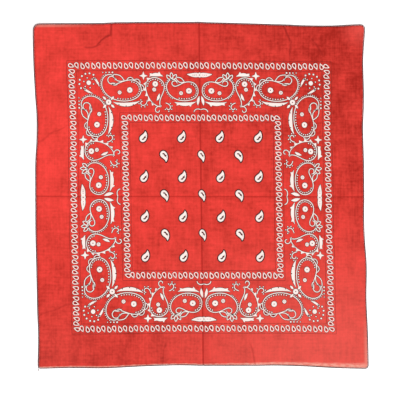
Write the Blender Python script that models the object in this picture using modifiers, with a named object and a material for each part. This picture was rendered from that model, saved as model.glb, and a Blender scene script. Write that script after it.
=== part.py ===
"""Bandana: one square of thin printed cotton, overlocked along its four sides and laid out flat.

Metres, +Z up. The origin lies on the surface that the cloth rests on, under the middle of the
whole piece. +Y runs towards the top of the print and +X towards its right side.
"""
import math
from collections import namedtuple

import bmesh
import bpy
from mathutils import Vector

MM = 0.001

# The panel as it was cut, before it was laid out.
PANEL_WIDTH = 526 * MM
PANEL_HEIGHT = 548 * MM
CLOTH_THICKNESS = 1.0 * MM

# The overlocked thread along the raw edge, and the end of it that hangs off one corner.
THREAD_DIAMETER = 1.6 * MM
THREAD_BEVEL_STEPS = 1
SEAM_GAP = 0.3 * MM
TAIL_LENGTH = 4.0 * MM
TAIL_DIAMETER = 1.0 * MM
TAIL_SWING = 0.8 * MM
TAIL_STEPS = 4

# Where the four corners of the panel lie, and how much each is rounded, in mm, in turn round it.
Corner = namedtuple("Corner", "name x y radius")
CORNERS = (
    Corner("bottom_left", -258.8, -273.8, 1.5),
    Corner("bottom_right", 266.3, -273.8, 4.0),
    Corner("top_right", 260.6, 273.0, 5.5),
    Corner("top_left", -266.3, 274.1, 8.0),
)

# How far each side bows out of the straight line between its corners, in mm, at every tenth
# of its length. Top and bottom run from left to right, left and right from bottom to top.
SIDE_BOWS = {
    "top": (1.2, 1.6, 3.1, 3.3, 3.3, 2.2, 0.7, -1.2, -1.7),
    "bottom": (-0.8, -0.4, -3.0, -5.1, -4.5, -4.3, -4.8, -3.6, -0.9),
    "left": (-1.0, 0.1, 0.6, 1.1, 0.5, -0.2, -3.9, -1.2, 0.8),
    "right": (-0.1, -1.9, -1.0, -4.3, -3.8, -3.6, -4.5, -2.6, -3.1),
}
# A bow dies out this far into the panel.
BOW_REACH = 130 * MM

# Folds and swells, in mm on the cut panel from its middle: the line that each follows, how far
# it spreads to either side and how high it stands. A negative height is a fold that is pressed
# down between two low shoulders.
Fold = namedtuple("Fold", "from_x from_y to_x to_y half_width height")
FOLDS = (
    Fold(0, -20, 0, 330, 16, 2.0),
    Fold(0, 20, 0, -330, 16, -1.8),
    Fold(-330, 0, 330, 0, 16, -1.5),
    Fold(-200, 262, -138, 206, 24, 2.4),
    Fold(-128, 290, -150, 216, 22, 1.8),
    Fold(136, 290, 146, 196, 24, 2.2),
    Fold(176, 250, 206, 204, 22, 1.6),
    Fold(-300, 96, -196, 128, 30, 2.6),
    Fold(-290, -196, -196, -168, 30, 1.6),
    Fold(-66, -300, -52, -208, 28, 1.8),
    Fold(92, -300, 76, -214, 30, 2.2),
    Fold(296, -62, 204, -44, 30, 1.8),
    Fold(296, 150, 214, 128, 28, 2.0),
)
# A fold keeps its height for most of its length: the higher this power, the shorter its ends.
RUN_OUT_POWER = 3
# Under 1, this moves the shoulders of a pressed fold in towards its line.
SHOULDER_POWER = 0.6

# How far the corners curl up off the surface, in mm, over the given radius.
Curl = namedtuple("Curl", "name radius height")
CURLS = (
    Curl("bottom_left", 44, 1.8),
    Curl("bottom_right", 58, 3.0),
    Curl("top_right", 54, 3.4),
    Curl("top_left", 62, 4.2),
)

# The grid of the panel: close lines beside the two pressed folds, wider ones elsewhere.
FOLD_LINES = (5 * MM, 10 * MM, 16 * MM)
GRID_PITCH = 19 * MM
CORNER_SEGMENTS = 4

COLLECTION = "bandana"


def clear_scene():
    for thing in list(bpy.data.objects):
        bpy.data.objects.remove(thing, do_unlink=True)


def cloth_material(name, colour, roughness):
    material = bpy.data.materials.new(name)
    material.use_nodes = True
    shader = material.node_tree.nodes["Principled BSDF"]
    shader.inputs["Base Color"].default_value = (*colour, 1)
    shader.inputs["Roughness"].default_value = roughness
    shader.inputs["Metallic"].default_value = 0
    return material


def ease(value):
    """Smooth step from 0 to 1."""
    value = min(max(value, 0), 1)
    return value * value * (3 - 2 * value)


def bow(side, share):
    """How far a side bows out, in metres, at a share of its length: a curve through its row."""
    row = (0, 0, *SIDE_BOWS[side], 0, 0)
    steps = len(row) - 3
    place = min(max(share, 0), 1) * steps
    start = min(int(place), steps - 1)
    t = place - start
    before, left, right, after = row[start:start + 4]
    slope_left = (right - before) / 2
    slope_right = (after - left) / 2
    rise = right - left
    curve = left + t * slope_left
    curve += t * t * (3 * rise - 2 * slope_left - slope_right)
    curve += t * t * t * (slope_left + slope_right - 2 * rise)
    return curve * MM


def laid_flat(x, y):
    """Where a point of the cut panel lies on the surface."""
    corner = {row.name: Vector((row.x, row.y)) * MM for row in CORNERS}
    across = x / PANEL_WIDTH + 0.5
    up = y / PANEL_HEIGHT + 0.5
    low = corner["bottom_left"].lerp(corner["bottom_right"], across)
    high = corner["top_left"].lerp(corner["top_right"], across)
    place = low.lerp(high, up)

    def fade(distance):
        return max(0, 1 - distance / BOW_REACH) ** 2

    place.y += bow("top", across) * fade((1 - up) * PANEL_HEIGHT)
    place.y -= bow("bottom", across) * fade(up * PANEL_HEIGHT)
    place.x -= bow("left", up) * fade(across * PANEL_WIDTH)
    place.x += bow("right", up) * fade((1 - across) * PANEL_WIDTH)
    return place


def fold_height(x, y, fold):
    """The height that one fold lifts a point of the cut panel, in mm. x and y are in mm."""
    along = Vector((fold.to_x - fold.from_x, fold.to_y - fold.from_y))
    offset = Vector((x - fold.from_x, y - fold.from_y))
    share = offset.dot(along) / along.length_squared
    aside = abs(offset.cross(along)) / along.length / fold.half_width
    if not 0 < share < 1 or aside >= 1:
        return 0
    run_out = ease(1 - abs(2 * share - 1) ** RUN_OUT_POWER)
    if fold.height < 0:
        shoulder = math.sin(math.pi * aside ** SHOULDER_POWER) ** 2
        return -fold.height * shoulder * run_out
    return fold.height * ease(1 - aside) * run_out


def curl_height(x, y, curl):
    """The height that one corner's curl lifts a point of the cut panel, in mm."""
    corner_x = PANEL_WIDTH / 2 / MM * (1 if "right" in curl.name else -1)
    corner_y = PANEL_HEIGHT / 2 / MM * (1 if "top" in curl.name else -1)
    distance = math.hypot(x - corner_x, y - corner_y)
    return curl.height * ease(1 - distance / curl.radius)


def relief(x, y):
    """Height of the underside over the surface, in metres, at a point of the cut panel."""
    x, y = x / MM, y / MM
    folds = sum(fold_height(x, y, fold) for fold in FOLDS)
    curls = sum(curl_height(x, y, curl) for curl in CURLS)
    return (folds + curls) * MM


def grid_lines(length):
    """Places of the grid's lines across a length, from its middle: close at the pressed fold."""
    half = length / 2
    count = round((half - FOLD_LINES[-1]) / GRID_PITCH)
    pitch = (half - FOLD_LINES[-1]) / count
    outer = [FOLD_LINES[-1] + pitch * step for step in range(1, count + 1)]
    right = [*FOLD_LINES, *outer]
    return [-place for place in reversed(right)] + [0] + right


def cut_panel():
    """A bmesh of the panel as it was cut: a flat grid with rounded corners."""
    columns, rows = grid_lines(PANEL_WIDTH), grid_lines(PANEL_HEIGHT)
    panel = bmesh.new()
    bmesh.ops.create_grid(
        panel, x_segments=len(columns) - 1, y_segments=len(rows) - 1, size=0.5
    )
    for vertex in panel.verts:
        vertex.co.x = columns[round((vertex.co.x + 0.5) * (len(columns) - 1))]
        vertex.co.y = rows[round((vertex.co.y + 0.5) * (len(rows) - 1))]
    for corner in CORNERS:
        target = Vector((corner.x, corner.y)) * MM
        tip = min(panel.verts, key=lambda vertex: (vertex.co.xy - target).length)
        bmesh.ops.bevel(
            panel, geom=[tip], offset=corner.radius * MM, segments=CORNER_SEGMENTS,
            profile=0.5, affect="VERTICES", material=-1
        )
    return panel


def boundary_points(panel):
    """The border's vertices in order, counter-clockwise from above."""
    edges = {vertex: [e for e in vertex.link_edges if e.is_boundary] for vertex in panel.verts}
    start = next(vertex for vertex in panel.verts if edges[vertex])
    loop, edge = [start], edges[start][0]
    while True:
        vertex = edge.other_vert(loop[-1])
        if vertex is start:
            break
        loop.append(vertex)
        edge = next(e for e in edges[vertex] if e is not edge)
    area = sum(a.co.xy.cross(b.co.xy) for a, b in zip(loop, loop[1:] + loop[:1]))
    return loop if area > 0 else loop[::-1]


def build_panel(panel, material, collection):
    """The cloth: the laid surface with a wall's thickness on top."""
    mesh = bpy.data.meshes.new("cloth_panel")
    panel.to_mesh(mesh)
    mesh.materials.append(material)
    mesh.shade_smooth()
    cloth = bpy.data.objects.new("cloth_panel", mesh)
    collection.objects.link(cloth)
    wall = cloth.modifiers.new("wall", "SOLIDIFY")
    wall.thickness = CLOTH_THICKNESS
    wall.offset = 1


def thread_curve(name, points, diameter, material, collection):
    """A round thread along a row of points, with its ends closed."""
    curve = bpy.data.curves.new(name, "CURVE")
    curve.dimensions = "3D"
    curve.bevel_depth = diameter / 2
    curve.bevel_resolution = THREAD_BEVEL_STEPS
    curve.use_fill_caps = True
    spline = curve.splines.new("POLY")
    spline.points.add(len(points) - 1)
    for target, point in zip(spline.points, points):
        target.co = (*point, 1)
    curve.materials.append(material)
    thread = bpy.data.objects.new(name, curve)
    collection.objects.link(thread)


def outside_path(border):
    """The border moved out to the middle of the thread that runs along it."""
    clearance = SEAM_GAP + THREAD_DIAMETER / 2
    path = []
    for index, point in enumerate(border):
        before = (point.xy - border[index - 1].xy).normalized()
        after = (border[(index + 1) % len(border)].xy - point.xy).normalized()
        tangent = (before + after).normalized()
        outward = Vector((tangent.y, -tangent.x))
        step = clearance / max(outward.dot(Vector((after.y, -after.x))), 0.5)
        place = point.xy + outward * step
        path.append(Vector((*place, point.z + THREAD_DIAMETER / 2)))
    return path


def shortened(points, trim):
    """The same row of points with a length taken off both ends."""
    first = points[0] + (points[1] - points[0]).normalized() * trim
    last = points[-1] + (points[-2] - points[-1]).normalized() * trim
    return [first, *points[1:-1], last]


def build_edging(border, material, collection):
    """Four runs of overlocked thread, one along each side, that meet in the corners' middles."""
    path = outside_path(border)
    middles = []
    for corner in CORNERS:
        target = Vector((corner.x, corner.y)) * MM
        middles.append(min(range(len(border)), key=lambda i: (border[i].xy - target).length))
    for number, side in enumerate(("bottom", "right", "top", "left")):
        start, end = middles[number], middles[(number + 1) % len(middles)]
        length = (end - start) % len(path)
        run = [path[(start + step) % len(path)] for step in range(length + 1)]
        thread_curve(
            f"edging_{side}", shortened(run, SEAM_GAP), THREAD_DIAMETER, material, collection
        )
    return path[middles[0]]


def build_tail(corner, material, collection):
    """The loose end of the edging thread, past the bottom-left corner."""
    radius = TAIL_DIAMETER / 2
    low = corner.z - THREAD_DIAMETER / 2 + radius
    first = Vector((corner.x, corner.y - THREAD_DIAMETER / 2 - radius - SEAM_GAP, low))
    points = []
    for step in range(TAIL_STEPS + 1):
        share = step / TAIL_STEPS
        drop = (radius - low) * share
        swing = TAIL_SWING * share * share
        points.append(first + Vector((-swing, -TAIL_LENGTH * share, drop)))
    thread_curve("thread_tail", points, TAIL_DIAMETER, material, collection)


clear_scene()
bandana = bpy.data.collections.new(COLLECTION)
bpy.context.scene.collection.children.link(bandana)
red_cotton = cloth_material("red_cotton", (0.80, 0.045, 0.032), 0.9)
dark_thread = cloth_material("dark_thread", (0.06, 0.012, 0.014), 0.75)

panel_grid = cut_panel()
for grid_vertex in panel_grid.verts:
    height = relief(grid_vertex.co.x, grid_vertex.co.y)
    grid_vertex.co = (*laid_flat(grid_vertex.co.x, grid_vertex.co.y), height)
panel_border = [vertex.co.copy() for vertex in boundary_points(panel_grid)]
build_panel(panel_grid, red_cotton, bandana)
panel_grid.free()
loose_corner = build_edging(panel_border, dark_thread, bandana)
build_tail(loose_corner, dark_thread, bandana)
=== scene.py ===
"""Red bandana laid out flat: thin cotton, a discharge print in white and dark, overlocked edge."""

import math
from collections import namedtuple

import bmesh
import bpy
from mathutils import Matrix, Vector


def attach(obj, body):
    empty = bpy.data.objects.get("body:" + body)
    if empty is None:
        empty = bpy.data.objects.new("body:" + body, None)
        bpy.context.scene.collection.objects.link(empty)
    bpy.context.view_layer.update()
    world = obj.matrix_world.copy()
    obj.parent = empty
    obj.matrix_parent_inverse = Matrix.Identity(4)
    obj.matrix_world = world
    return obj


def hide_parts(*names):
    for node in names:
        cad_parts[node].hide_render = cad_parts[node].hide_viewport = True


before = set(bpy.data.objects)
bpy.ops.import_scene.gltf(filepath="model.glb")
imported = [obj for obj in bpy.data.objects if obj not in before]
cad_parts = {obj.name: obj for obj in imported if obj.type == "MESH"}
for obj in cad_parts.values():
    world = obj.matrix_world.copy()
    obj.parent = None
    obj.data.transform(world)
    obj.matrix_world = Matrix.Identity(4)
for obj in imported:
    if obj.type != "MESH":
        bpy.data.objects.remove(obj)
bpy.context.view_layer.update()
MM = 0.001


# ---------------------------------------------------------------------------------------------
# The cloth is one square of thin plain-woven cotton, cut from a wide printed web. It was pressed
# in four, then opened and laid on its back, so that two folds, a few drag lines and the curled
# corners still stand up a little.

PANEL_WIDTH = 526 * MM
PANEL_HEIGHT = 548 * MM
COTTON_THICKNESS = 0.5 * MM
COTTON_CLEARANCE = 0.05 * MM

# Where the four corners of the panel lie, and how much each is rounded, in mm, in turn round it.
Corner = namedtuple("Corner", "name x y radius")
CORNERS = (
    Corner("bottom_left", -258.8, -273.8, 1.5),
    Corner("bottom_right", 266.3, -273.8, 4.0),
    Corner("top_right", 260.6, 273.0, 5.5),
    Corner("top_left", -266.3, 274.1, 8.0),
)

# How far each side bows out of the straight line between its corners, in mm, at every tenth.
SIDE_BOWS = {
    "top": (1.2, 1.6, 3.1, 3.3, 3.3, 2.2, 0.7, -1.2, -1.7),
    "bottom": (-0.8, -0.4, -3.0, -5.1, -4.5, -4.3, -4.8, -3.6, -0.9),
    "left": (-1.0, 0.1, 0.6, 1.1, 0.5, -0.2, -3.9, -1.2, 0.8),
    "right": (-0.1, -1.9, -1.0, -4.3, -3.8, -3.6, -4.5, -2.6, -3.1),
}
BOW_REACH = 130 * MM

# Folds and swells, in mm on the cut panel from its middle. A negative height is a fold that is
# pressed down between two low shoulders.
Fold = namedtuple("Fold", "from_x from_y to_x to_y half_width height")
FOLDS = (
    Fold(0, -20, 0, 330, 16, 2.0),
    Fold(0, 20, 0, -330, 16, -1.8),
    Fold(-330, 0, 330, 0, 16, -1.5),
    Fold(-200, 262, -138, 206, 24, 2.4),
    Fold(-128, 290, -150, 216, 22, 1.8),
    Fold(136, 290, 146, 196, 24, 2.2),
    Fold(176, 250, 206, 204, 22, 1.6),
    Fold(-300, 96, -196, 128, 30, 2.6),
    Fold(-290, -196, -196, -168, 30, 1.6),
    Fold(-66, -300, -52, -208, 28, 1.8),
    Fold(92, -300, 76, -214, 30, 2.2),
    Fold(296, -62, 204, -44, 30, 1.8),
    Fold(296, 150, 214, 128, 28, 2.0),
)
RUN_OUT_POWER = 3
SHOULDER_POWER = 0.6

# How far the corners curl up off the surface, in mm, over the given radius.
Curl = namedtuple("Curl", "name radius height")
CURLS = (
    Curl("bottom_left", 44, 1.8),
    Curl("bottom_right", 58, 3.0),
    Curl("top_right", 54, 3.4),
    Curl("top_left", 62, 4.2),
)

# The lines of the mesh beside the two pressed folds, in mm, and its pitch elsewhere.
FOLD_LINES = (0.7, 1.5, 2.5, 4.0, 6.0, 8.5, 12.0, 16.0)
THREAD_PITCH = 3.2


def ease(value):
    """Smooth step from 0 to 1."""
    value = min(max(value, 0), 1)
    return value * value * (3 - 2 * value)


def bow(side, share):
    """How far a side bows out, in metres, at a share of its length: a curve through its row."""
    row = (0, 0, *SIDE_BOWS[side], 0, 0)
    steps = len(row) - 3
    place = min(max(share, 0), 1) * steps
    start = min(int(place), steps - 1)
    t = place - start
    before, left, right, after = row[start:start + 4]
    slope_left = (right - before) / 2
    slope_right = (after - left) / 2
    rise = right - left
    curve = left + t * slope_left
    curve += t * t * (3 * rise - 2 * slope_left - slope_right)
    curve += t * t * t * (slope_left + slope_right - 2 * rise)
    return curve * MM


def laid_flat(x, y):
    """Where a point of the cut panel lies on the surface."""
    corner = {row.name: Vector((row.x, row.y)) * MM for row in CORNERS}
    across = x / PANEL_WIDTH + 0.5
    up = y / PANEL_HEIGHT + 0.5
    low = corner["bottom_left"].lerp(corner["bottom_right"], across)
    high = corner["top_left"].lerp(corner["top_right"], across)
    place = low.lerp(high, up)

    def fade(distance):
        return max(0, 1 - distance / BOW_REACH) ** 2

    place.y += bow("top", across) * fade((1 - up) * PANEL_HEIGHT)
    place.y -= bow("bottom", across) * fade(up * PANEL_HEIGHT)
    place.x -= bow("left", up) * fade(across * PANEL_WIDTH)
    place.x += bow("right", up) * fade((1 - across) * PANEL_WIDTH)
    return place


def fold_height(x, y, fold):
    """The height that one fold lifts a point of the cut panel, in mm. x and y are in mm."""
    along = Vector((fold.to_x - fold.from_x, fold.to_y - fold.from_y))
    offset = Vector((x - fold.from_x, y - fold.from_y))
    share = offset.dot(along) / along.length_squared
    aside = abs(offset.cross(along)) / along.length / fold.half_width
    if not 0 < share < 1 or aside >= 1:
        return 0
    run_out = ease(1 - abs(2 * share - 1) ** RUN_OUT_POWER)
    if fold.height < 0:
        shoulder = math.sin(math.pi * aside ** SHOULDER_POWER) ** 2
        return -fold.height * shoulder * run_out
    return fold.height * ease(1 - aside) * run_out


def curl_height(x, y, curl):
    """The height that one corner's curl lifts a point of the cut panel, in mm."""
    corner_x = PANEL_WIDTH / 2 / MM * (1 if "right" in curl.name else -1)
    corner_y = PANEL_HEIGHT / 2 / MM * (1 if "top" in curl.name else -1)
    distance = math.hypot(x - corner_x, y - corner_y)
    return curl.height * ease(1 - distance / curl.radius)


def relief(x, y):
    """Height of the underside over the surface, in metres, at a point of the cut panel."""
    x, y = x / MM, y / MM
    folds = sum(fold_height(x, y, fold) for fold in FOLDS)
    curls = sum(curl_height(x, y, curl) for curl in CURLS)
    return (folds + curls) * MM + COTTON_CLEARANCE


def grid_lines(length):
    """Places of the mesh's lines across a length, in metres from its middle."""
    half = length / 2 / MM
    count = round((half - FOLD_LINES[-1]) / THREAD_PITCH)
    pitch = (half - FOLD_LINES[-1]) / count
    right = [*FOLD_LINES, *(FOLD_LINES[-1] + pitch * step for step in range(1, count + 1))]
    return [-place * MM for place in reversed(right)] + [0] + [place * MM for place in right]


def shown(name, shape, material):
    """Makes a finished piece of a bmesh: it rides on the cloth's body, with its slot's finish."""
    mesh = bpy.data.meshes.new(name)
    shape.to_mesh(mesh)
    shape.free()
    mesh.materials.append(material)
    mesh.shade_smooth()
    piece = bpy.data.objects.new(name, mesh)
    bpy.context.scene.collection.objects.link(piece)
    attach(piece, "root")
    return piece


class Wire:
    """A socket that shader maths is written with: each operator adds a Math node to its tree."""

    def __init__(self, tree, output=None):
        self.tree = tree
        self.output = output

    def add(self, kind, settings=None, inputs=None, output=0):
        """Adds a node: its settings first, then the values or wires of its sockets."""
        node = self.tree.nodes.new(kind)
        for name, value in (settings or {}).items():
            if name == "stops":
                for stop in range(2, len(value)):
                    node.color_ramp.elements.new(stop / len(value))
                for element, (place, colour) in zip(node.color_ramp.elements, value):
                    element.position = place
                    element.color = (*colour, 1)
            else:
                setattr(node, name, value)
        for key, value in (inputs or {}).items():
            if isinstance(value, Wire):
                self.tree.links.new(value.output, node.inputs[key])
            else:
                node.inputs[key].default_value = value
        return Wire(self.tree, node.outputs[output])

    def math(self, operation, *values):
        settings = {"operation": operation}
        return self.add("ShaderNodeMath", settings, dict(enumerate(values)))

    def __add__(self, other):
        return self.math("ADD", self, other)

    def __radd__(self, other):
        return self.math("ADD", other, self)

    def __sub__(self, other):
        return self.math("SUBTRACT", self, other)

    def __rsub__(self, other):
        return self.math("SUBTRACT", other, self)

    def __mul__(self, other):
        return self.math("MULTIPLY", self, other)

    def __rmul__(self, other):
        return self.math("MULTIPLY", other, self)

    def __truediv__(self, other):
        return self.math("DIVIDE", self, other)

    def clamped(self):
        return self.math("MINIMUM", self.math("MAXIMUM", self, 0), 1)

    def eased(self):
        """A smooth step of a value from 0 to 1."""
        value = self.clamped()
        return value * value * (3 - 2 * value)


def mixed(share, first, second):
    """A colour between two, by a wire's share."""
    settings = {"data_type": "RGBA"}
    return share.add("ShaderNodeMix", settings, {0: share, 6: first, 7: second}, 2)


def cotton_material(name, roughness):
    """A new material of plain-woven cotton: its shader and a wire with the place on the cloth."""
    material = bpy.data.materials.new(name)
    material.use_nodes = True
    shader = material.node_tree.nodes["Principled BSDF"]
    shader.inputs["Roughness"].default_value = roughness
    shader.inputs["Specular IOR Level"].default_value = 0.15
    start = Wire(material.node_tree)
    place = start.add("ShaderNodeTexCoord", output="Object")
    return material, shader, place


def x_and_y(place):
    """The first two parts of a place, as a wire each."""
    x = place.add("ShaderNodeSeparateXYZ", inputs={0: place})
    return x, Wire(place.tree, x.output.node.outputs[1])


def stretched_noise(place, across, up, detail=2.0):
    """Noise with its own size in metres along each axis of the cloth, around 0."""
    scale = (1 / across, 1 / up, 1 / up)
    grain = place.add("ShaderNodeMapping", inputs={"Vector": place, "Scale": scale})
    inputs = {"Vector": grain, "Scale": 1.0, "Detail": detail}
    return place.add("ShaderNodeTexNoise", {"noise_dimensions": "2D"}, inputs) - 0.5


WEAVE_PITCH = 0.45 * MM
WEAVE_DEPTH = 0.05 * MM
SLUB_LENGTH = 40 * MM
SLUB_WIDTH = 0.7 * MM
CRINKLE_SIZE = 9 * MM


def woven_bump(place, strength, raised=0.0):
    """A normal with the over and under of the yarns and the thicker yarns among them."""
    turns = 2 * math.pi / WEAVE_PITCH
    x, y = x_and_y(place)
    warp = place.math("SINE", x * turns)
    weft = place.math("SINE", y * turns)
    slubs = stretched_noise(place, SLUB_LENGTH, SLUB_WIDTH)
    slubs = slubs + stretched_noise(place, SLUB_WIDTH, SLUB_LENGTH)
    crinkle = stretched_noise(place, CRINKLE_SIZE, CRINKLE_SIZE, 3.0)
    height = warp * weft * 0.5 + slubs * 0.8 + crinkle * 3.0 + raised
    inputs = {"Height": height, "Strength": strength, "Distance": WEAVE_DEPTH}
    return place.add("ShaderNodeBump", inputs=inputs)


# The sharp creases beside the drag lines, in mm on the cloth as it lies.
Crease = namedtuple("Crease", "from_x from_y to_x to_y depth")
CREASES = (
    Crease(-142, 286, -147, 257, 1.0),
    Crease(-145, 262, -168, 240, 1.0),
    Crease(-186, 236, -158, 243, 0.8),
    Crease(129, 278, 143, 246, 1.0),
    Crease(143, 253, 143, 220, 0.8),
    Crease(177, 254, 195, 224, 0.6),
    Crease(-266, 84, -212, 114, 0.4),
    Crease(-262, -192, -210, -172, 0.4),
    Crease(-64, -282, -56, -232, 0.5),
    Crease(88, -280, 78, -232, 0.5),
)
CREASE_WIDTH = 2.8 * MM
CREASE_BUMP = 9.0
CREASE_WANDER = 9 * MM
WANDER_SIZE = 30 * MM


def creased(place):
    """A share that is up to 1 along the middle of each crease and 0 away from them."""
    wander = CREASE_WANDER * stretched_noise(place, WANDER_SIZE, WANDER_SIZE)
    x, y = x_and_y(place)
    x, y = x + wander, y - wander
    lines = 0 * wander
    for crease in CREASES:
        start = Vector((crease.from_x, crease.from_y)) * MM
        along = Vector((crease.to_x, crease.to_y)) * MM - start
        ahead = along.normalized()
        right, up = x - start.x, y - start.y
        share = (right * ahead.x + up * ahead.y) / along.length
        aside = place.math("ABSOLUTE", right * ahead.y - up * ahead.x)
        line = (1 - aside / CREASE_WIDTH).eased() * (share * (1 - share) * 9).clamped()
        lines = place.math("MAXIMUM", lines, line * crease.depth)
    return lines


# The dye: its colours from darkest to brightest and where it is thin or missing, then painted shade for
# folds and creases.
DYE_STOPS = ((0.0, (0.36, 0.014, 0.008)), (0.5, (0.63, 0.038, 0.027)), (1.0, (0.86, 0.052, 0.042)))
CHALKY_RED = (0.80, 0.15, 0.12, 1)
BARE_PINK = (0.86, 0.40, 0.31, 1)
FOLD_SHADE_RED = (0.36, 0.012, 0.008, 1)
CREASE_SHADE_RED = (0.27, 0.010, 0.007, 1)
REVERSE_RED = (0.66, 0.085, 0.062, 1)

# Broad patches, in metres from the middle: deeper to the upper right and the lower left, partly
# the dye's own tone and partly painted shade; brighter to the left and at the very corner of the
# upper right, partly the dye's tone and partly painted light; chalkier to the lower right and at
# two other corners.
Patch = namedtuple("Patch", "x y radius strength")
DEEPER_AND_SHADED = (
    Patch(0.27, 0.27, 0.36, 0.38),
    Patch(0.29, 0.02, 0.16, 0.12),
    Patch(-0.22, -0.27, 0.24, 0.18),
    Patch(-0.06, -0.29, 0.20, 0.12),
)
BRIGHTER_AND_LIT = (
    Patch(-0.25, 0.08, 0.25, 0.2),
    Patch(0.262, 0.272, 0.048, 0.35),
)
CHALKIER = (
    Patch(0.27, -0.28, 0.30, 0.34),
    Patch(0.05, -0.25, 0.25, 0.16),
    Patch(-0.24, -0.28, 0.16, 0.1),
    Patch(0.262, 0.272, 0.05, 0.25),
)
THIN_TOP_LEFT = Patch(-0.26, 0.27, 0.11, 0.5)
THIN_LOWER_RIGHT = Patch(0.26, -0.275, 0.10, 0.5)


def near(place, patch):
    """A patch's strength at its middle, easing off to 0 at its radius."""
    settings = {"operation": "DISTANCE"}
    inputs = {0: place, 1: (patch.x, patch.y, 0)}
    distance = place.add("ShaderNodeVectorMath", settings, inputs, "Value")
    return (1 - distance / patch.radius).eased() * patch.strength


def red_cotton(name, reverse):
    """The dyed ground: bright red, deeper and paler in broad patches, partly painted shade and light,
    streaked by its yarns, with painted shade in its folds and creases.
    """
    material, shader, place = cotton_material(name, 0.88)
    streaks = stretched_noise(place, 34 * MM, 3.2 * MM) + stretched_noise(place, 3.2 * MM, 44 * MM)
    clouds = stretched_noise(place, 26 * MM, 30 * MM, 3.0)
    specks = stretched_noise(place, 5 * MM, 5 * MM)
    # The deeper and brighter patches are partly the dye's tone and partly painted shade and painted
    # light.
    deep_and_shaded, bright, chalky = [
        sum(near(place, patch) for patch in patches) for patches in (DEEPER_AND_SHADED, BRIGHTER_AND_LIT, CHALKIER)
    ]
    tone = 0.56 + streaks * 0.4 + clouds * 0.8 + specks * 0.5 + bright - deep_and_shaded
    colour = place.add("ShaderNodeValToRGB", {"stops": DYE_STOPS}, {0: tone})
    colour = mixed(chalky.clamped(), colour, CHALKY_RED)

    # The ground stops short of the cut edge along the bottom, most at its right end, and is thin
    # down the side at the top left corner and at the lower right one. Lengths here are in mm.
    across, up = x_and_y(place.add("ShaderNodeUVMap", {"uv_map": "cut"}))
    from_bottom = up * (PANEL_HEIGHT / MM)
    from_top = (1 - up) * (PANEL_HEIGHT / MM)
    from_right = (1 - across) * (PANEL_WIDTH / MM)
    reach = 1.6 + 5.0 * (across * 2 - 1).clamped() + 2.0 * stretched_noise(place, 14 * MM, 14 * MM)
    bottom = (1.5 - from_bottom / reach).eased()
    frayed = 0.75 + 1.6 * stretched_noise(place, 7 * MM, 2.5 * MM)
    top_left = near(place, THIN_TOP_LEFT) * (1.3 - from_top / 4.6).eased()
    lower_right = near(place, THIN_LOWER_RIGHT) * (1.2 - from_right / 6).eased()
    bare = place.math("MAXIMUM", bottom * frayed, top_left + lower_right).clamped()
    colour = mixed(bare * 0.85, colour, BARE_PINK)

    # Painted shade: a dark line along each of the two pressed folds, and a duller band right of the
    # upright one, on its side away from the light.
    off_x = (across - 0.5) * (PANEL_WIDTH / MM)
    off_y = (up - 0.5) * (PANEL_HEIGHT / MM)
    fold_x_shade = (1.25 - place.math("ABSOLUTE", off_x) / 1.7).eased() * 0.75
    fold_y_shade = (1.25 - place.math("ABSOLUTE", off_y) / 1.5).eased() * 0.5
    shaded_side = (1 - place.math("ABSOLUTE", off_x - 7) / 8).eased() * 0.2
    fold_shade = place.math("MAXIMUM", place.math("MAXIMUM", fold_x_shade, fold_y_shade), shaded_side)
    colour = mixed(fold_shade, colour, FOLD_SHADE_RED)

    # The creases get painted shade, and the reverse took less dye.
    creases = creased(place)
    colour = mixed(creases * 0.7, colour, CREASE_SHADE_RED)
    if reverse:
        colour = mixed(clouds.clamped() * 0.3 + 0.5, colour, REVERSE_RED)
    material.node_tree.links.new(colour.output, shader.inputs["Base Color"])
    bump = woven_bump(place, 0.5, creases * -CREASE_BUMP)
    material.node_tree.links.new(bump.output, shader.inputs["Normal"])
    return material


def rounded(place):
    """Draws a point of the cut panel in where its corner is rounded."""
    side = "right" if place.x > 0 else "left"
    end = "top" if place.y > 0 else "bottom"
    radius = next(row.radius for row in CORNERS if row.name == f"{end}_{side}") * MM
    over = Vector((
        max(0, abs(place.x) - PANEL_WIDTH / 2 + radius),
        max(0, abs(place.y) - PANEL_HEIGHT / 2 + radius)
    ))
    if not min(over):
        return place
    drawn_in = over * (max(over) / over.length - 1)
    return place + Vector((math.copysign(drawn_in.x, -place.x), math.copysign(drawn_in.y, -place.y), 0))


def boundary_points(shape):
    """The border's vertices in order, counter-clockwise from above."""
    edges = {vertex: [e for e in vertex.link_edges if e.is_boundary] for vertex in shape.verts}
    start = next(vertex for vertex in shape.verts if edges[vertex])
    loop, edge = [start], edges[start][0]
    while True:
        vertex = edge.other_vert(loop[-1])
        if vertex is start:
            break
        loop.append(vertex)
        edge = next(e for e in edges[vertex] if e is not edge)
    area = sum(a.co.xy.cross(b.co.xy) for a, b in zip(loop, loop[1:] + loop[:1]))
    return loop if area > 0 else loop[::-1]


columns, rows = grid_lines(PANEL_WIDTH), grid_lines(PANEL_HEIGHT)
panel = bmesh.new()
bmesh.ops.create_grid(panel, x_segments=len(columns) - 1, y_segments=len(rows) - 1, size=0.5)
for vertex in panel.verts:
    vertex.co.x = columns[round((vertex.co.x + 0.5) * (len(columns) - 1))]
    vertex.co.y = rows[round((vertex.co.y + 0.5) * (len(rows) - 1))]
for vertex in panel.verts:
    vertex.co = rounded(vertex.co)
cut_map = panel.loops.layers.uv.new("cut")
for face in panel.faces:
    for loop in face.loops:
        across, up = loop.vert.co.x / PANEL_WIDTH + 0.5, loop.vert.co.y / PANEL_HEIGHT + 0.5
        loop[cut_map].uv = (across, up)
for vertex in panel.verts:
    height = relief(vertex.co.x, vertex.co.y)
    vertex.co = (*laid_flat(vertex.co.x, vertex.co.y), height)
panel_border = [vertex.co.copy() for vertex in boundary_points(panel)]
cloth = shown("cloth", panel, red_cotton("red_cotton", reverse=False))
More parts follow.
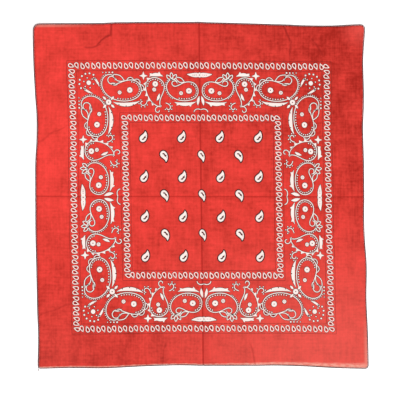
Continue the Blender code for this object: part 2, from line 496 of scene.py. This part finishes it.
cloth.data.materials.append(red_cotton("cotton_reverse", reverse=True))
wall = cloth.modifiers.new("wall", "SOLIDIFY")
wall.thickness = COTTON_THICKNESS
wall.offset = 1
wall.material_offset = 1
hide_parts("cloth_panel")


# ---------------------------------------------------------------------------------------------
# The print: the red was discharged to white through one screen, and a dark brown ink was laid
# through a second, as rims round the white shapes and as small marks on them. It is drawn in mm
# from the middle of the design, x to the right and y up, and each shape is a film on the cloth.

# The design as it lies on the cut panel: its middle, how far it was stretched each way and leans,
# how far the middle field slipped inside the frame, and how much the upright fold takes in.
DESIGN_MIDDLE = Vector((0.7, -2.1))
DESIGN_STRETCH = Vector((0.986, 1.0171))
DESIGN_LEAN = -0.006
FIELD_SLIP = Vector((1.6, 1.8))
FOLD_TUCK = 0.2
FOLD_TUCK_REACH = 12
OUTER_CHAIN = 207
INNER_CHAIN = 124

# Heights over the cloth, in mm. Each new shape takes the next small step, so that shapes which
# cross never share a height.
LAYERS = {"rim": 0.12, "white": 0.22, "mark": 0.34}
LEVELS = 8
LEVEL_STEP = 0.011

RIM_WIDTH = 0.75
LINE_WIDTH = 1.3
FINEST_LINE = 0.25
EVEN = (0, 0)
BEND_STEPS = 16
BEND_PITCH = 4.0


def ring(x, y, radius, segments):
    """Points once round a circle, ending where they start."""
    angles = [2 * math.pi * step / segments for step in range(segments + 1)]
    return [Vector((x + radius * math.cos(a), y + radius * math.sin(a))) for a in angles]


def drop(width, height, slim=1, steps=72):
    """A closed drop on its round foot with its tip up. A slimmer one has a longer neck."""
    points = []
    for step in range(steps + 1):
        angle = 2 * math.pi * step / steps
        across = math.sin(angle) * abs(math.sin(angle / 2)) ** slim
        points.append(Vector((across, height * (1 + math.cos(angle)) / 2)))
    widest = max(point.x for point in points)
    return [Vector((point.x / widest * width / 2, point.y)) for point in points]


def blade(width, height, steps=12):
    """A closed leaf with its foot at the origin, pointed at both ends."""
    points = []
    for step in range(2 * steps + 1):
        share = 1 - step / steps
        points.append(Vector((width / 2 * math.sin(math.pi * share), height * abs(share))))
    return points


def stem(height, steps=20):
    """A straight line up from the origin."""
    return [Vector((0, height * step / steps)) for step in range(steps + 1)]


def bent(points, length, curl, tighter=2):
    """Bends an upright shape to the right by an angle in degrees, tighter towards its top."""
    placed = []
    for point in points:
        share = point.y / length
        spine = Vector((0, 0))
        for step in range(BEND_STEPS):
            part = (step + 0.5) / BEND_STEPS * share
            heading = math.radians(curl) * part ** tighter
            spine += Vector((math.sin(heading), math.cos(heading))) * point.y / BEND_STEPS
        heading = math.radians(curl) * share ** tighter
        placed.append(spine + Vector((math.cos(heading), -math.sin(heading))) * point.x)
    return placed


def reaches(points):
    """How far along a line each of its points is."""
    reach = [0]
    for before, after in zip(points, points[1:]):
        reach.append(reach[-1] + (after - before).length)
    return reach


def beside(points, share, offset=0.0):
    """The spot at a share of a line's length, moved to its right, and the way it runs there."""
    reach = reaches(points)
    place = reach[-1] * min(max(share, 0), 0.9999)
    index = max(number for number, passed in enumerate(reach[:-1]) if passed <= place)
    part = (place - reach[index]) / (reach[index + 1] - reach[index])
    ahead = (points[index + 1] - points[index]).normalized()
    spot = points[index].lerp(points[index + 1], part)
    return spot + Vector((ahead.y, -ahead.x)) * offset, ahead


class Drawing:
    """Flat shapes of the print, as one bmesh of bare white and one of dark ink."""

    def __init__(self):
        self.white = bmesh.new()
        self.dark = bmesh.new()
        self.turn = 0

    def ink(self, layer):
        return self.white if layer == "white" else self.dark

    def level(self, layer):
        self.turn = (self.turn + 1) % LEVELS
        return LAYERS[layer] + self.turn * LEVEL_STEP

    def ribbon(self, layer, points, widths):
        """A line of changing width: a rail on its left, extruded over to the right."""
        ink, height = self.ink(layer), self.level(layer)
        closed = (points[0] - points[-1]).length < 1e-4
        left, right = [], []
        for index, (point, width) in enumerate(zip(points, widths)):
            before = points[index - 1] if index else points[-2 if closed else 0]
            after = points[index + 1] if index + 1 < len(points) else points[1 if closed else -1]
            ahead = (after - before).normalized()
            side = Vector((-ahead.y, ahead.x)) * width / 2
            left.append(ink.verts.new((*(point + side), height)))
            right.append(Vector((*(point - side), height)))
        edges = [ink.edges.new(pair) for pair in zip(left, left[1:])]
        made = bmesh.ops.extrude_edge_only(ink, edges=edges)["geom"]
        fresh = {item for item in made if isinstance(item, bmesh.types.BMVert)}
        for vertex, place in zip(left, right):
            partners = [edge.other_vert(vertex) for edge in vertex.link_edges]
            next(partner for partner in partners if partner in fresh).co = place

    def line(self, points, width, taper=(0.06, 0.06), rim=RIM_WIDTH, layer="white"):
        """A line that thins towards its ends over a share of its length, with its dark rim."""
        reach = reaches(points)
        widths = []
        for place in reach:
            share = place / reach[-1]
            start = min(1, share / taper[0]) if taper[0] else 1
            end = min(1, (1 - share) / taper[1]) if taper[1] else 1
            widths.append(max(FINEST_LINE, width * math.sqrt(max(0, start * end))))
        self.ribbon(layer, points, widths)
        if rim:
            self.ribbon("rim", points, [wide + 2 * rim for wide in widths])

    def patch(self, points, layer="white", rim=RIM_WIDTH):
        """A filled outline with its dark rim."""
        if (points[0] - points[-1]).length > 1e-4:
            points = [*points, points[0]]
        ink, height = self.ink(layer), self.level(layer)
        ink.faces.new([ink.verts.new((*point, height)) for point in points[:-1]])
        if rim:
            self.ribbon("rim", points, [2 * rim] * len(points))

    def dot(self, place, radius, layer="white", rim=RIM_WIDTH, segments=10):
        """A round dot with its dark rim."""
        self.patch(ring(*place, radius, segments), layer, rim=0)
        if rim:
            self.patch(ring(*place, radius + rim, segments), "rim", rim=0)

    def beads(self, points, offset, radius, pitch, start, end):
        """Dots beside a line, to the right of the way that it runs."""
        count = max(1, round(reaches(points)[-1] * (end - start) / pitch))
        for number in range(count + 1):
            spot, ahead = beside(points, start + (end - start) * number / count, offset)
            self.dot(spot, radius, segments=8)

    def thorns(self, points, size, count, start, end):
        """Spikes on the left of a line, each leaning the way that it runs."""
        for number in range(count):
            share = start + (end - start) * number / max(count - 1, 1)
            spot, ahead = beside(points, share)
            side = Vector((-ahead.y, ahead.x))
            foot = ahead * size * 0.8
            self.patch([spot - foot, spot + side * size + ahead * size * 0.5, spot + foot])

    def scallops(self, points, rise, count, start, end):
        """Arches on the left of a line, each with a dark eye."""
        for number in range(count):
            first = start + (end - start) * number / count
            arch = []
            for step in range(9):
                share = first + (end - start) / count * step / 8
                arch.append(beside(points, share, -rise * math.sin(math.pi * step / 8) ** 0.8)[0])
            self.line(arch, LINE_WIDTH * 0.9, EVEN)
            eye, ahead = beside(points, first + (end - start) / count / 2, -rise * 0.45)
            self.dot(eye, 1.1, "mark", rim=0, segments=8)

    def flower(self, place, radius, petals=12, eye=0.9):
        """A daisy of round petals, with a dark eye if it has one."""
        points = []
        for step in range(petals * 4 + 1):
            angle = 2 * math.pi * step / (petals * 4)
            petal = 1 - 0.13 * (1 - abs(math.sin(petals / 2 * angle)))
            points.append(place + Vector((math.cos(angle), math.sin(angle))) * radius * petal)
        self.patch(points)
        if eye:
            self.dot(place, eye, "mark", rim=0)
        else:
            self.line(ring(*place, radius * 0.4, 8), 0.3, EVEN, rim=0, layer="mark")


def stamp(target, motif, matrix):
    """Adds a moved copy of one drawing to another."""
    for source, ink in ((motif.white, target.white), (motif.dark, target.dark)):
        copy = bpy.data.meshes.new("copy")
        source.to_mesh(copy)
        copy.transform(matrix)
        ink.from_mesh(copy)
        bpy.data.meshes.remove(copy)


def cut_across(ink, axis, places):
    """Cuts every shape of an ink along lines across one axis, so that it can bend there."""
    normal = Vector((1 - axis, axis, 0))
    for place in places:
        everything = ink.verts[:] + ink.edges[:] + ink.faces[:]
        bmesh.ops.bisect_plane(
            ink, geom=everything, dist=1e-5, plane_co=normal * place, plane_no=normal
        )


def bendable(drawing, low, high):
    """Cuts a flat drawing into cells small enough to follow the cloth."""
    for ink in (drawing.white, drawing.dark):
        bmesh.ops.triangulate(ink, faces=ink.faces[:], ngon_method="EAR_CLIP")
        for axis in (0, 1):
            first = math.ceil(low[axis] / BEND_PITCH)
            last = math.floor(high[axis] / BEND_PITCH)
            cut_across(ink, axis, [step * BEND_PITCH for step in range(first, last + 1)])


def on_panel(x, y):
    """Where a point of the design, in mm, lies on the cut panel, in metres."""
    depth = (OUTER_CHAIN - max(abs(x), abs(y))) / (OUTER_CHAIN - INNER_CHAIN)
    slip = FIELD_SLIP * min(max(depth, 0), 1) + Vector((DESIGN_LEAN * y, 0))
    x *= 1 - FOLD_TUCK * math.exp(-((x / FOLD_TUCK_REACH) ** 2))
    return (DESIGN_MIDDLE + Vector((x, y)) * DESIGN_STRETCH + slip) * MM


def print_on_cloth(name, drawing, white_material, dark_material):
    """Lays both inks of a drawing on the cloth, as two pieces."""
    fold_places = [side * place * MM for place in FOLD_LINES for side in (-1, 1)] + [0]
    pieces = []
    inks = (("white", drawing.white, white_material), ("dark", drawing.dark, dark_material))
    for tint, ink, material in inks:
        for vertex in ink.verts:
            spot = on_panel(vertex.co.x, vertex.co.y)
            vertex.co = (spot.x, spot.y, vertex.co.z * MM)
        cut_across(ink, 0, fold_places)
        cut_across(ink, 1, fold_places)
        flat_map = ink.loops.layers.uv.new("OFBake")
        for face in ink.faces:
            for loop in face.loops:
                place = loop.vert.co
                loop[flat_map].uv = (place.x / PANEL_WIDTH + 0.5, place.y / PANEL_HEIGHT + 0.5)
        for vertex in ink.verts:
            height = relief(vertex.co.x, vertex.co.y) + COTTON_THICKNESS + vertex.co.z
            vertex.co = (*laid_flat(vertex.co.x, vertex.co.y), height)
        ink.normal_update()
        turned = [face for face in ink.faces if face.normal.z < 0]
        bmesh.ops.reverse_faces(ink, faces=turned)
        pieces.append(shown(f"{name}_{tint}", ink, material))
    return pieces


def print_material(name, bright, dull):
    """One ink or bare white: the cotton's own bump, and patches where it took less well."""
    material, shader, place = cotton_material(name, 0.9)
    wear = stretched_noise(place, 2.5 * MM, 2.5 * MM) + stretched_noise(place, 30 * MM, 30 * MM)
    colour = mixed((wear + 0.5).clamped(), bright, dull)
    material.node_tree.links.new(colour.output, shader.inputs["Base Color"])
    material.node_tree.links.new(woven_bump(place, 0.4).output, shader.inputs["Normal"])
    return material


bare_white = print_material("bare_white", (0.92, 0.86, 0.81, 1), (0.85, 0.67, 0.62, 1))
dark_ink = print_material("dark_ink", (0.055, 0.013, 0.013, 1), (0.12, 0.020, 0.018, 1))


# ---------------------------------------------------------------------------------------------
# The two square chains of small drops that frame the band: hollow drops with a dark fleck, every
# other one upside down. The columns hold the corners, and their drops lie across the chain.

LINK_LEAN = 20
LINK_SLIMNESS = 1.6
LINK_SIZE = (5.5, 9.6)
LINK_LINE_WIDTH = 1.3
LINK_RIM_SIZE = (7.5, 12.2)
LINK_RIM_WIDTH = 0.5
FLECK_SIZE = (2.0, 4.6)
CHAIN_LINE_GAP = 7.8
CHAIN_LINE_WIDTH = 0.4

Chain = namedtuple("Chain", "half steps_across steps_up")
CHAINS = (Chain(OUTER_CHAIN, 47, 51), Chain(INNER_CHAIN, 29, 31))


def leaning(width, height, steps=16):
    """A closed drop about the origin with its tip up, leaned to the left as the links are."""
    turn = Matrix.Rotation(math.radians(LINK_LEAN), 2)
    outline = drop(width, height, LINK_SLIMNESS, steps)
    return [turn @ (point - Vector((0, height / 2))) for point in outline]


link = Drawing()
link.line(leaning(*LINK_SIZE), LINK_LINE_WIDTH, EVEN, rim=0)
link.line(leaning(*LINK_RIM_SIZE), LINK_RIM_WIDTH, EVEN, rim=0, layer="rim")
link.patch(leaning(*FLECK_SIZE, steps=8), layer="rim", rim=0)
upright = Matrix.Identity(4)
upside_down = Matrix.Rotation(math.pi, 4, "Z")
across_chain = Matrix(((0, -1, 0, 0), (-1, 0, 0, 0), (0, 0, 1, 0), (0, 0, 0, 1)))

chains = Drawing()
for row in CHAINS:
    for half in (row.half - CHAIN_LINE_GAP, row.half + CHAIN_LINE_GAP):
        for turn in range(4):
            quarter_turn = Matrix.Rotation(math.pi / 2 * turn, 2)
            ends = [quarter_turn @ Vector((side * half, half)) for side in (-1, 1)]
            chains.line(ends, CHAIN_LINE_WIDTH, EVEN, rim=0, layer="rim")
    for side in (-1, 1):
        for number in range(1, row.steps_across):
            place = row.half * (2 * number / row.steps_across - 1)
            turn = upside_down if number % 2 else upright
            stamp(chains, link, Matrix.Translation((place, side * row.half, 0)) @ turn)
        for number in range(row.steps_up + 1):
            place = row.half * (1 - 2 * number / row.steps_up)
            turn = across_chain @ (upright if number % 2 else upside_down)
            stamp(chains, link, Matrix.Translation((side * row.half, place, 0)) @ turn)
bendable(chains, (-220, -220), (220, 220))
chain_pieces = print_on_cloth("chain", chains, bare_white, dark_ink)


# ---------------------------------------------------------------------------------------------
# The band of paisleys between the chains. Half of one side is drawn, from the corner to the
# middle; it is mirrored at the middle of the side and at the corner's diagonal, eight times.
# Each motif stands on its foot, and is turned and placed from a table.

COMBED_CURL = 120
TRAIL_START = -141
TRAIL_PITCH = 5.2
TRAIL_INWARD = 10.6
CORNER_DOT_INWARD = 27
CORNER_FLOWER_INWARD = 58
BAR_INWARD = 15


def outlined(motif, outline, width=LINE_WIDTH):
    """Draws a closed outline as its right and its left side, thinning to their shared tip."""
    foot = len(outline) // 2
    motif.line(outline[:foot + 1], width, taper=(0.1, 0))
    motif.line(outline[foot:], width, taper=(0, 0.1))


def paisley(length, width, curl, slim=2.4, scallops=0, thorns=0):
    """A hollow drop with a curled neck, beaded inside and combed outside, with two flowers."""
    motif = Drawing()
    outline = bent(drop(width, length, slim), length, curl, tighter=3)
    outlined(motif, outline)
    motif.beads(outline, 2.9, 1.0, 4.5, 0.3, 0.64)
    if curl > COMBED_CURL:
        motif.beads(outline, -2.2, 0.75, 3.1, 0.7, 0.9)
    if scallops:
        motif.scallops(outline, 4.2, scallops, 0.26, 0.26 + 0.055 * scallops)
    if thorns:
        motif.thorns(outline, 4.2, thorns, 0.54, 0.88)
    heart, neck = bent([Vector((0, length * 0.2)), Vector((-1, length * 0.38))], length, curl, 3)
    motif.flower(heart, 4.6)
    motif.flower(neck, 3.2, petals=8, eye=0)
    return motif


def leaf(length, width, bend, solid=False):
    """A leaf, hollow or solid white."""
    motif = Drawing()
    outline = bent(blade(width, length), length, bend)
    if solid:
        motif.patch(outline)
    else:
        outlined(motif, outline)
    return motif


def crescent(length, width, bend, notches=3, spikes=0):
    """A white crescent with dark notches or white spikes on the outside of its bend."""
    motif = Drawing()
    outline = bent(blade(width, length), length, bend, tighter=1)
    motif.patch(outline)
    for number in range(notches):
        spot, ahead = beside(outline, 0.62 + 0.13 * number, 0.8)
        motif.dot(spot, 0.9, "mark", rim=0, segments=6)
    if spikes:
        motif.thorns(outline, 2.8, spikes, 0.62, 0.9)
    return motif


def coil(length, curl, beads=0):
    """A line that curls up at its end, with beads outside it if it has them."""
    motif = Drawing()
    path = bent(stem(length), length, curl)
    motif.line(path, LINE_WIDTH)
    if beads:
        motif.beads(path, -2.8, 0.95, length * 0.6 / beads, 0.3, 0.9)
    return motif


def twig(length, bend, buds):
    """A stalk with round buds."""
    motif = Drawing()
    path = bent(stem(length), length, bend)
    motif.line(path, 2.2, taper=(0.3, 0.3))
    for number in range(buds):
        motif.dot(beside(path, 0.35 + 0.55 * number / buds)[0], 1.8)
    return motif


def sprout(length, spread):
    """Three leaves from one foot."""
    motif = Drawing()
    for lean in (-spread, 0, spread):
        turn = Matrix.Rotation(math.radians(lean), 4, "Z")
        stamp(motif, leaf(length, length * 0.42, lean * 0.6), turn)
    return motif


def star(reach, waist):
    """A star of four points."""
    motif = Drawing()
    points = []
    for step in range(9):
        angle = math.pi / 4 * step
        far = waist if step % 2 else reach
        points.append(Vector((math.cos(angle), math.sin(angle))) * far)
    motif.patch(points)
    return motif


def wing(length, width):
    """Half of the barred flower in the middle of a side."""
    motif = Drawing()
    motif.patch(bent(drop(width, length), length, 14))
    for share in (0.3, 0.44, 0.56):
        motif.dot(Vector((0, length * share)), 0.6, "mark", rim=0, segments=6)
    return motif


Placed = namedtuple("Placed", "motif along inward turn mirrored")
HALF_SIDE = (
    Placed(twig(18, -34, 4), -163, 33, 22, False),
    Placed(paisley(94, 32, 300, scallops=3), -96, 33, 108, False),
    Placed(leaf(21, 9, 18), -122, 24, 66, False),
    Placed(leaf(12, 4, 20, solid=True), -133, 30, 84, False),
    Placed(crescent(46, 6, 52), -98, 56, 118, False),
    Placed(star(6.8, 2.6), -91, 16, 0, False),
    Placed(paisley(50, 30, 66, slim=1.4, thorns=6), -71, 19, 172, True),
    Placed(leaf(13, 4, 30, solid=True), -66, 44, 166, False),
    Placed(crescent(24, 5.4, 56, notches=0, spikes=2), -59, 17, 62, True),
    Placed(coil(25, 290), -63, 64, 92, True),
    Placed(coil(24, 280, beads=4), -86, 54, 168, False),
    Placed(coil(22, 270, beads=4), -57, 59, 252, False),
    Placed(sprout(11.5, 54), -45, 22, 4, False),
    Placed(paisley(72, 29, 300), -5, 35, 110, False),
    Placed(leaf(16, 7, 16), -25, 26, 66, False),
    Placed(crescent(36, 5.6, 50, notches=0, spikes=2), -8, 57, 116, False),
    Placed(leaf(16, 5, -24, solid=True), -2, 48, 160, False),
    Placed(wing(21, 7), 0, BAR_INWARD, 90, False),
    Placed(coil(15, 110), 0, 70, 74, True),
)

half_side = Drawing()
for row in HALF_SIDE:
    place = Matrix.Translation((row.along, OUTER_CHAIN - row.inward, 0))
    turn = Matrix.Rotation(math.radians(row.turn), 4, "Z")
    mirror = Matrix.Scale(-1, 4, (1, 0, 0)) if row.mirrored else Matrix.Identity(4)
    stamp(half_side, row.motif, place @ turn @ mirror)
for step in range(4):
    trail = Vector((TRAIL_START - TRAIL_PITCH * step, OUTER_CHAIN - TRAIL_INWARD))
    half_side.dot(trail, 1.4 - 0.2 * step)

# The corner: one dot on the diagonal, with six small ones round it and seven in an arc beyond,
# then a flower with four leaves.
Fan = namedtuple("Fan", "reach radius spread count")
FANS = (Fan(8, 1.0, 150, 6), Fan(15, 1.5, 78, 7))
OUTWARD = 135

quarter = Drawing()
diagonal = Vector((1, -1))
corner = Vector((-OUTER_CHAIN, OUTER_CHAIN))
corner_dot = corner + diagonal * CORNER_DOT_INWARD
quarter.dot(corner_dot, 3.6, segments=16)
for fan in FANS:
    for step in range(fan.count):
        angle = math.radians(OUTWARD + fan.spread * (2 * step / (fan.count - 1) - 1))
        spoke = Vector((math.cos(angle), math.sin(angle))) * fan.reach
        quarter.dot(corner_dot + spoke, fan.radius)

diagonal_flower = corner + diagonal * CORNER_FLOWER_INWARD
quarter.flower(diagonal_flower, 4.6)
for lean_out in (0, 90, 180, 270):
    turn = Matrix.Rotation(math.radians(lean_out + 45), 4, "Z")
    place = Matrix.Translation((*diagonal_flower, 0)) @ turn @ Matrix.Translation((0, 5, 0))
    stamp(quarter, leaf(8, 3.6, 0, solid=True), place)

bendable(half_side, (-OUTER_CHAIN, INNER_CHAIN), (12, OUTER_CHAIN))
bendable(quarter, (-OUTER_CHAIN, INNER_CHAIN), (-INNER_CHAIN, OUTER_CHAIN))
band = Drawing()
for number in range(4):
    quarter_turn = Matrix.Rotation(math.pi / 2 * number, 4, "Z")
    stamp(band, half_side, quarter_turn)
    stamp(band, half_side, quarter_turn @ Matrix.Scale(-1, 4, (1, 0, 0)))
    stamp(band, quarter, quarter_turn)
    bar_middle = quarter_turn @ Vector((0, OUTER_CHAIN - BAR_INWARD, 0))
    band.flower(bar_middle.xy, 4.0)
band_pieces = print_on_cloth("band", band, bare_white, dark_ink)


# ---------------------------------------------------------------------------------------------
# The middle field: rows of white comma drops with a dark squiggle, four by four with their tips
# up and three by three between them with their tips down.

# How many drops a set has each way, their pitch, how far the set is off the middle, and its tips.
Drops = namedtuple("Drops", "count pitch_x pitch_y off_x off_y tips")
DROPS = (
    Drops(4, 62.0, 62.6, 0, 0, "up"),
    Drops(3, 60.6, 61.8, 0.4, 1.8, "down"),
)
COMMA_WIDTH = 10.4
COMMA_LENGTH = 18.8
COMMA_SLIMNESS = 1.3
COMMA_RIM_WIDTH = 1.8
COMMA_LEAN = -48
COMMA_BEND = -66
COMMA_MIDDLE = Vector((6.0, 6.5))
SQUIGGLE_START = Vector((-4.0, -3.8))
SQUIGGLE_LENGTH = 7.2
SQUIGGLE_RISE = 3.3
SQUIGGLE_STEPS = 12

comma = Drawing()
lean = Matrix.Rotation(math.radians(COMMA_LEAN), 2)
comma_drop = drop(COMMA_WIDTH, COMMA_LENGTH, COMMA_SLIMNESS, steps=28)
comma_outline = bent(comma_drop, COMMA_LENGTH, COMMA_BEND)
comma.patch([lean @ point - COMMA_MIDDLE for point in comma_outline], rim=COMMA_RIM_WIDTH)
squiggle = []
for step in range(SQUIGGLE_STEPS + 1):
    share = step / SQUIGGLE_STEPS
    rise = SQUIGGLE_RISE * ease(3 * share - 1.1)
    squiggle.append(SQUIGGLE_START + Vector((SQUIGGLE_LENGTH * share, rise)))
comma.line(squiggle, 2.0, (0.15, 0.15), rim=0, layer="mark")
comma.dot(squiggle[9], 1.6, "mark", rim=0, segments=7)
comma.dot(squiggle[-1] + Vector((-0.5, 2.3)), 0.6, "mark", rim=0, segments=6)

field = Drawing()
tip_down = Matrix.Scale(-1, 4, (0, 1, 0))
for drops in DROPS:
    turn = upright if drops.tips == "up" else tip_down
    middle = (drops.count - 1) / 2
    for column in range(drops.count):
        for row in range(drops.count):
            across = (column - middle) * drops.pitch_x + drops.off_x
            up = (row - middle) * drops.pitch_y + drops.off_y
            stamp(field, comma, Matrix.Translation((across, up, 0)) @ turn)
bendable(field, (-110, -110), (110, 110))
field_pieces = print_on_cloth("field", field, bare_white, dark_ink)


# ---------------------------------------------------------------------------------------------
# The raw edge is overlocked all round with a dark brown thread: a core laid along each side, just
# outside the panel, with a yarn wound round it, and a loose twisted end past the bottom left corner.

THREAD_DIAMETER = 1.6 * MM
SEAM_GAP = 0.3 * MM
STITCH_BITE = 0.26 * MM
CORE_DIAMETER = 1.35 * MM
YARN_DIAMETER = 0.55 * MM
YARN_PITCH = 1.2 * MM
YARN_STEPS = 8
TAIL_LENGTH = 4.0 * MM
TAIL_DIAMETER = 1.0 * MM
TAIL_SWING = 0.8 * MM
TAIL_STEPS = 12
FREE_PLAY = 0.01 * MM
BROWN = (0.045, 0.007, 0.008, 1)
WORN_BROWN = (0.12, 0.014, 0.013, 1)


def thread_material():
    """Dark brown spun thread, a little redder in places."""
    material, shader, place = cotton_material("dark_thread", 0.7)
    worn = stretched_noise(place, 22 * MM, 22 * MM)
    colour = mixed((0.5 + worn * 1.6).clamped(), BROWN, WORN_BROWN)
    material.node_tree.links.new(colour.output, shader.inputs["Base Color"])
    return material


dark_thread = thread_material()


def outside_path(border):
    """The border moved out to the middle of the thread that runs along it."""
    clearance = SEAM_GAP + THREAD_DIAMETER / 2 - STITCH_BITE
    path = []
    for index, point in enumerate(border):
        before = (point.xy - border[index - 1].xy).normalized()
        after = (border[(index + 1) % len(border)].xy - point.xy).normalized()
        tangent = (before + after).normalized()
        outward = Vector((tangent.y, -tangent.x))
        step = clearance / max(outward.dot(Vector((after.y, -after.x))), 0.5)
        place = point.xy + outward * step
        path.append(Vector((*place, point.z + THREAD_DIAMETER / 2)))
    return path


def shortened(points, trim):
    """The same row of points with a length taken off both ends."""
    first = points[0] + (points[1] - points[0]).normalized() * trim
    last = points[-1] + (points[-2] - points[-1]).normalized() * trim
    return [first, *points[1:-1], last]


def wound(path, radius, pitch, phase=0.0):
    """Points of a yarn wound round a path."""
    turns, passed, reach = [], 0.0, 0.0
    for before, after in zip(path, path[1:]):
        length = (after - before).length
        ahead = (after - before) / length
        side = ahead.cross(Vector((0, 0, 1))).normalized()
        upward = side.cross(ahead)
        while reach <= passed + length:
            angle = 2 * math.pi * reach / pitch + phase
            spoke = side * math.cos(angle) + upward * math.sin(angle)
            turns.append(before + ahead * (reach - passed) + spoke * radius)
            reach += pitch / YARN_STEPS
        passed += length
    return turns


def thread_piece(name, strands, node):
    """One piece of round strands, each a row of points and a diameter, in place of a node."""
    shape = bmesh.new()
    for points, diameter in strands:
        curve = bpy.data.curves.new(name, "CURVE")
        curve.dimensions = "3D"
        curve.bevel_depth = diameter / 2
        curve.bevel_resolution = 1 if diameter > YARN_DIAMETER else 0
        curve.use_fill_caps = True
        run = curve.splines.new("POLY")
        run.points.add(len(points) - 1)
        for spot, point in zip(run.points, points):
            spot.co = (*point, 1)
        maker = bpy.data.objects.new(name, curve)
        strand = bpy.data.meshes.new_from_object(maker)
        shape.from_mesh(strand)
        bpy.data.objects.remove(maker)
        bpy.data.curves.remove(curve)
        bpy.data.meshes.remove(strand)
    piece = shown(name, shape, dark_thread)
    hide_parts(node)
    return piece


edge_path = outside_path(panel_border)
turning_points = []
for corner in CORNERS:
    target = Vector((corner.x, corner.y)) * MM
    distances = [(point.xy - target).length for point in panel_border]
    turning_points.append(distances.index(min(distances)))

for number, side in enumerate(("bottom", "right", "top", "left")):
    first, last = turning_points[number], turning_points[(number + 1) % 4]
    run = edge_path[first:last + 1] if first < last else edge_path[first:] + edge_path[:last + 1]
    run = shortened(run, SEAM_GAP / 2)
    yarn_radius = (THREAD_DIAMETER - YARN_DIAMETER) / 2 - FREE_PLAY
    yarn = wound(run, yarn_radius, YARN_PITCH)
    strands = ((run, CORE_DIAMETER), (yarn, YARN_DIAMETER))
    thread_piece(f"overlock_{side}", strands, f"edging_{side}")

tail_radius = TAIL_DIAMETER / 2
loose_corner = edge_path[turning_points[0]]
tail_low = loose_corner.z - THREAD_DIAMETER / 2 + tail_radius
tail_start = loose_corner - Vector((0, THREAD_DIAMETER / 2 + tail_radius + SEAM_GAP, 0))
tail_path = []
for step in range(TAIL_STEPS + 1):
    share = step / TAIL_STEPS
    height = tail_low + (tail_radius - tail_low) * share
    across = tail_start.x - TAIL_SWING * share * share
    tail_path.append(Vector((across, tail_start.y - TAIL_LENGTH * share, height)))
plies = [
    (wound(tail_path, tail_radius / 2, 2 * YARN_PITCH, phase), tail_radius)
    for phase in (0, math.pi)
]
thread_piece("loose_end", plies, "thread_tail")


# ---------------------------------------------------------------------------------------------
# The studio: a pale floor, a bright even sky and one soft light from the upper left. The floor
# glows a little, so that the lifted corners throw no grey rim on it.

FLOOR_SIZE = 8
FLOOR_GAP = 0.2 * MM
FLOOR_GLOW = 0.3
SKY_STRENGTH = 0.72

bpy.ops.mesh.primitive_plane_add(size=FLOOR_SIZE, location=(0, 0, -FLOOR_GAP))
floor = bpy.context.object
floor.name = "floor"
paper = bpy.data.materials.new("pale_floor")
paper.use_nodes = True
paper_shader = paper.node_tree.nodes["Principled BSDF"]
paper_shader.inputs["Base Color"].default_value = (0.95, 0.95, 0.95, 1)
paper_shader.inputs["Roughness"].default_value = 1
paper_shader.inputs["Specular IOR Level"].default_value = 0
paper_shader.inputs["Emission Color"].default_value = (1, 1, 1, 1)
paper_shader.inputs["Emission Strength"].default_value = FLOOR_GLOW
floor.data.materials.append(paper)

sky = bpy.data.worlds.new("sky")
sky.use_nodes = True
background = sky.node_tree.nodes["Background"]
background.inputs["Color"].default_value = (1, 1, 1, 1)
background.inputs["Strength"].default_value = SKY_STRENGTH
bpy.context.scene.world = sky

lamp = bpy.data.lights.new("softbox", "SUN")
lamp.energy = 1.75
lamp.angle = math.radians(20)
softbox = bpy.data.objects.new("softbox", lamp)
softbox.rotation_euler = (math.radians(38), 0, math.radians(40))
bpy.context.scene.collection.objects.link(softbox)

lens = bpy.data.cameras.new("camera")
lens.lens = 85
lens.sensor_width = 36
lens.clip_end = 100
camera = bpy.data.objects.new("camera", lens)
camera.location = (-0.00136, -0.0059, 1.511)
bpy.context.scene.collection.objects.link(camera)
bpy.context.scene.camera = camera
bpy.context.scene.view_settings.view_transform = "Standard"
